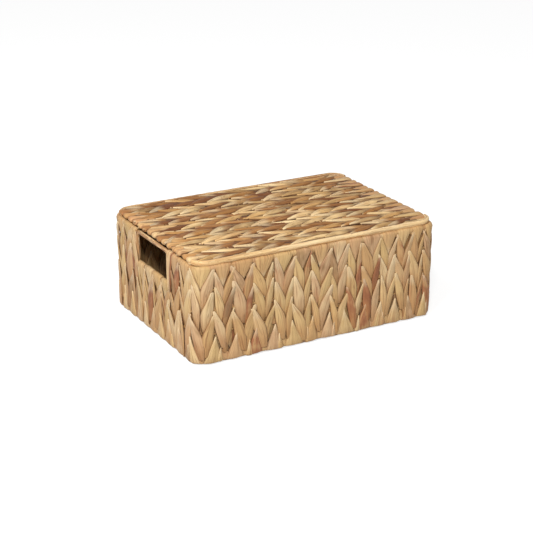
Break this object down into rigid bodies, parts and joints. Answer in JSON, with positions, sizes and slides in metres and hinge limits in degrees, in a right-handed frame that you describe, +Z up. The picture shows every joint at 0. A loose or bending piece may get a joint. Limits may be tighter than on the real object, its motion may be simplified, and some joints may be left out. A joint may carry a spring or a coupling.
{
  "type": "storage hamper",
  "caption": "Rectangular storage hamper of leaf strands twined over a wire frame, with a hand hole in each end and a flat woven lid that lifts off.",
  "frame": {"origin": "centre of the footprint, on the floor under the basket", "axes": "+X along the long side, to the right seen from the front; +Y from front to back; +Z up"},
  "size_m": [0.4, 0.28, 0.154],
  "materials": {
    "wall_leaf": "dried leaf, matt",
    "lid_leaf": "dried leaf, satin",
    "binding_leaf": "dried leaf, satin",
    "frame_wire": "brown lacquered steel wire"
  },
  "bodies": {
    "basket": {"rim_wire": "frame_wire", "base_wire": "frame_wire", "ring_wire_1": "frame_wire", "ring_wire_2": "frame_wire", "ring_wire_3_front": "frame_wire", "ring_wire_3_back": "frame_wire", "handle_hoop_left": "frame_wire", "handle_hoop_right": "frame_wire", "corner_post_front_right": "frame_wire", "corner_post_back_right": "frame_wire", "corner_post_back_left": "frame_wire", "corner_post_front_left": "frame_wire", "front_wall": "wall_leaf", "back_wall": "wall_leaf", "base_mat": "wall_leaf", "left_wall_back": "wall_leaf", "left_wall_front": "wall_leaf", "left_wall_under_handle": "wall_leaf", "right_wall_back": "wall_leaf", "right_wall_front": "wall_leaf", "right_wall_under_handle": "wall_leaf", "corner_front_right": "wall_leaf", "corner_back_right": "wall_leaf", "corner_back_left": "wall_leaf", "corner_front_left": "wall_leaf", "grip_left": "binding_leaf", "grip_right": "binding_leaf", "base_cross_wire_1": "frame_wire", "base_cross_wire_2": "frame_wire", "base_cross_wire_3": "frame_wire", "base_cross_wire_4": "frame_wire", "base_cross_wire_5": "frame_wire", "base_cross_wire_6": "frame_wire"},
    "lid": {"lid_edge_wire": "frame_wire", "lid_cross_wire_1": "frame_wire", "lid_cross_wire_2": "frame_wire", "lid_cross_wire_3": "frame_wire", "lid_cross_wire_4": "frame_wire", "lid_cross_wire_5": "frame_wire", "lid_cross_wire_6": "frame_wire", "lid_cross_wire_7": "frame_wire", "lid_cross_wire_8": "frame_wire", "lid_cross_wire_9": "frame_wire", "lid_cross_wire_10": "frame_wire", "lid_mat": "lid_leaf", "lid_binding_front": "binding_leaf", "lid_binding_back": "binding_leaf"}
  },
  "joints": [
    {"name": "lid_lift", "type": "slide", "parent": "basket", "child": "lid", "axis": [0, 0, 1], "range_m": [0, 0.2]}
  ]
}
